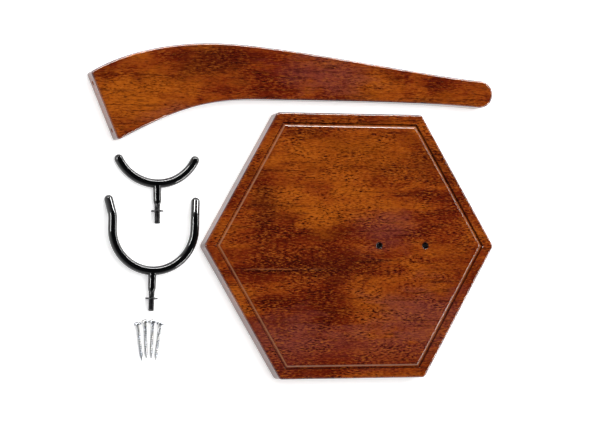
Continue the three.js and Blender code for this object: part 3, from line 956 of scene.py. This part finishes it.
def stem_coat(place):
    """The coat down the stem, flared where it joins the bend and tapered at its end."""
    bore = ROD_RADIUS + 0.03
    side = STEM_COAT_RADIUS
    end = STEM_COAT_END
    profile = [
        (bore, 1.5), (3.55, 1.5), (3.62, 2.6), (3.6, 3.5), (3.5, 4.1), (3.36, 4.9), (side, 5.8),
        (side, 10), (side, end - 2.9), (side - 0.04, end - 2.4), (side - 0.35, end - 0.9),
        (side - 0.46, end - 0.35), (side - 0.62, end - 0.05), (bore + 0.06, end),
        (bore, end - 0.1),
    ]
    return turned(profile, 40, wrap=True, place=place)


def stem(place):
    """The straight of the rod from the bend down, and its thread."""
    end = STEM_LENGTH
    thread_end = end - 0.7
    profile = [
        (ROD_RADIUS, 2), (ROD_RADIUS, THREAD_START - 0.5), (ROD_RADIUS - 0.15, THREAD_START - 0.4),
        (ROD_RADIUS - 0.15, THREAD_START - 0.1), (THREAD_RADIUS, THREAD_START),
        (THREAD_RADIUS, thread_end), (THREAD_RADIUS - 0.6, end - 0.05),
        (THREAD_RADIUS - 0.75, end),
    ]
    thread = Thread(THREAD_START, thread_end, THREAD_PITCH, depth=0.17, crest=0.12)
    return turned(profile, 32, thread=thread, place=place)


def washer(place):
    """A pressed washer, rounder on one side."""
    low, high = WASHER_PLACE - WASHER_HALF, WASHER_PLACE + WASHER_HALF
    rim, bore = WASHER_RADIUS, WASHER_BORE
    rim_ease = 0.35
    profile = [(bore, low + 0.1), (bore + 0.1, low)]
    profile += rounded((rim - rim_ease, low), (rim, low), (rim, low + rim_ease), 4)
    profile += [(rim, high - 0.08), (rim - 0.08, high), (bore + 0.1, high), (bore, high - 0.1)]
    return turned(profile, 56, wrap=True, place=place)


def yoke(word, shape):
    """A yoke's four pieces. In its own frame, up its prongs is the way its washer slides."""
    slide = next(joint for joint in frame["joints"] if joint["name"] == f"{word}_washer_slide")
    up = Vector(slide["axis"]).normalized()
    across = up.cross(Vector((0, 0, 1))).normalized()
    out = across.cross(up)
    centre = middle(f"{word}_yoke_washer") + up * WASHER_PLACE
    place = put(*centre) @ Matrix((across, up, out)).transposed().to_4x4()
    down = place @ Matrix.Rotation(QUARTER, 4, "X")
    name = f"{word}_yoke"
    piece(f"{name}_bend", bend_coat(shape, place), VINYL, name, f"{name}_coat")
    piece(f"{name}_sleeve", stem_coat(down), VINYL, name, f"{name}_stem_coat")
    piece(f"{name}_stem", stem(down), BLACK_STEEL, name, f"{name}_rod")
    piece(f"{name}_washer_disc", washer(down), BLACK_STEEL, f"{word}_washer",
          f"{name}_washer")


yoke("shallow", SHALLOW_YOKE)
yoke("deep", DEEP_YOKE)

# ---- loose screws ------------------------------------------------------------------------


def screw_mesh(place):
    """A pan-head wood screw: domed head with a cross, plain neck, thread and point."""
    head = SCREW_HEAD_RADIUS
    top = SCREW_HEAD_HEIGHT
    length = SCREW_LENGTH
    neck = SCREW_NECK_RADIUS
    crown = 0.6             # radius of the head's flat crown
    brim = 1.0              # height at which the dome starts
    profile = [
        (0.2, -length), (0.45, 0.8 - length), (SCREW_RADIUS, SCREW_POINT - length),
        (SCREW_RADIUS, -SCREW_NECK), (neck, 0.5 - SCREW_NECK), (neck, -0.5), (1.6, -0.05),
        (head - 0.25, 0), (head, 0.2), (head, brim),
    ]
    steps = 8
    for step in range(1, steps + 1):
        turn = QUARTER * step / steps
        profile.append((crown + (head - crown) * math.cos(turn),
                        brim + (top - brim) * math.sin(turn)))
    thread = Thread(-length + 0.3, -SCREW_NECK, SCREW_PITCH, depth=0.3, crest=0.08)
    mesh = turned(profile, 32, thread=thread, place=place)
    return cut(mesh, cross_cutters(
        half_length=1.75, half_width=0.42, top=top, depth=1.5, place=place))


def loose_screw(node, index):
    """Lays a screw where its CAD node lies: same tilt, same middle."""
    turn = Matrix.Rotation(-math.radians(SCREW_FAN_STEP * index), 4, "Z")
    lean = Matrix.Rotation(math.radians(SCREW_LEAN) - QUARTER, 4, "X")
    roll = Matrix.Rotation(0.5 + index, 4, "Z")  # each cross lies at its own angle
    mesh = screw_mesh(turn @ lean @ roll)
    low = Vector(min(v.co[k] for v in mesh.vertices) for k in range(3))
    high = Vector(max(v.co[k] for v in mesh.vertices) for k in range(3))
    mesh.transform(Matrix.Translation(middle(node) * MM - (low + high) / 2))
    piece(f"{node}_zinc", mesh, ZINC, node, node)


for index, node in enumerate(("wall_screw_1", "arm_screw_1", "arm_screw_2", "wall_screw_2")):
    loose_screw(node, index - 1.5)

# ---- table, light and camera -------------------------------------------------------------


def table():
    floor = cad_bounds[0].z
    half = TABLE_HALF
    corners = ((-half, -half), (half, -half), (half, half), (-half, half))
    mesh = bpy.data.meshes.new("table")
    mesh.from_pydata([(x, y, floor) for x, y in corners], [], [(0, 1, 2, 3)])
    top = bpy.data.objects.new("table", mesh)
    bpy.context.scene.collection.objects.link(top)
    paper = Finish("table_paper")
    reach = paper.node("ShaderNodeVectorMath", {"operation": "LENGTH"}, {0: paper.point}, output=1)
    # painted shade: no glow in the disc under the board, so it stays dark there
    glow_outside_painted_shade = paper.mix(paper.spread(reach, *TABLE_PAINTED_SHADE), (0, 0, 0), (1, 1, 1))
    mesh.materials.append(paper.done(
        Base_Color=(0.8, 0.8, 0.8), Roughness=0.9, Specular_IOR_Level=0.1,
        Emission_Color=glow_outside_painted_shade, Emission_Strength=TABLE_GLOW))


def lamp(name, at, size, power, lights=True):
    light = bpy.data.lights.new(name, "AREA")
    light.shape = "RECTANGLE"
    light.size, light.size_y = size
    light.energy = power
    holder = bpy.data.objects.new(name, light)
    holder.location = at
    towards = Vector(KIT_MIDDLE) - Vector(at)
    holder.rotation_euler = towards.to_track_quat("-Z", "Y").to_euler()
    holder.visible_camera = False
    holder.visible_glossy = not lights
    holder.visible_diffuse = lights
    bpy.context.scene.collection.objects.link(holder)


def camera():
    eye = Vector((-0.6766, -0.0695, 1.9395))
    aim = Vector((-0.0463, 0.0291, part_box("back_board")[1].z))
    upright = Vector((-0.0065, 0.9988, 0.0492))
    look = (aim - eye).normalized()
    side = look.cross(upright).normalized()
    lens = bpy.data.cameras.new("camera")
    lens.lens = 144
    lens.sensor_width = 36
    lens.clip_end = 50
    holder = bpy.data.objects.new("camera", lens)
    holder.matrix_world = (
        Matrix.Translation(eye) @ Matrix((side, side.cross(look), -look)).transposed().to_4x4())
    bpy.context.scene.collection.objects.link(holder)
    bpy.context.scene.camera = holder


def room():
    """Pale walls all round, fading to a dim ceiling. They add no diffuse light."""
    world = bpy.data.worlds.new("room")
    world.use_nodes = True
    tree = world.node_tree
    backdrop = tree.nodes["Background"]
    backdrop.inputs["Color"].default_value = (1, 1, 1, 1)
    place = tree.nodes.new("ShaderNodeTexCoord")
    parts = tree.nodes.new("ShaderNodeSeparateXYZ")
    fade = tree.nodes.new("ShaderNodeMapRange")
    fade.interpolation_type = "SMOOTHSTEP"
    heights_and_strengths = {"From Min": 0.3, "From Max": 0.75, "To Min": 0.9, "To Max": 0.01}
    for socket, value in heights_and_strengths.items():
        fade.inputs[socket].default_value = value
    tree.links.new(place.outputs["Generated"], parts.inputs[0])
    tree.links.new(parts.outputs["Z"], fade.inputs["Value"])
    tree.links.new(fade.outputs[0], backdrop.inputs["Strength"])
    world.cycles_visibility.diffuse = False
    bpy.context.scene.world = world
    bpy.context.scene.view_settings.view_transform = "Standard"


table()
lamp("ceiling", (0.3, 0.7, 2.3), (3.6, 3.6), 131)
lamp("back_window", (0.3, 1.9, 0.95), (4.2, 0.2), 160, lights=False)
lamp("left_window", (-1.9, 0.3, 0.9), (1.2, 0.14), 36, lights=False)
lamp("right_window", (1.9, 0.4, 0.9), (1.4, 0.14), 24, lights=False)
lamp("front_window", (1.5, -1.0, 0.85), (1.2, 0.16), 30, lights=False)
camera()
room()
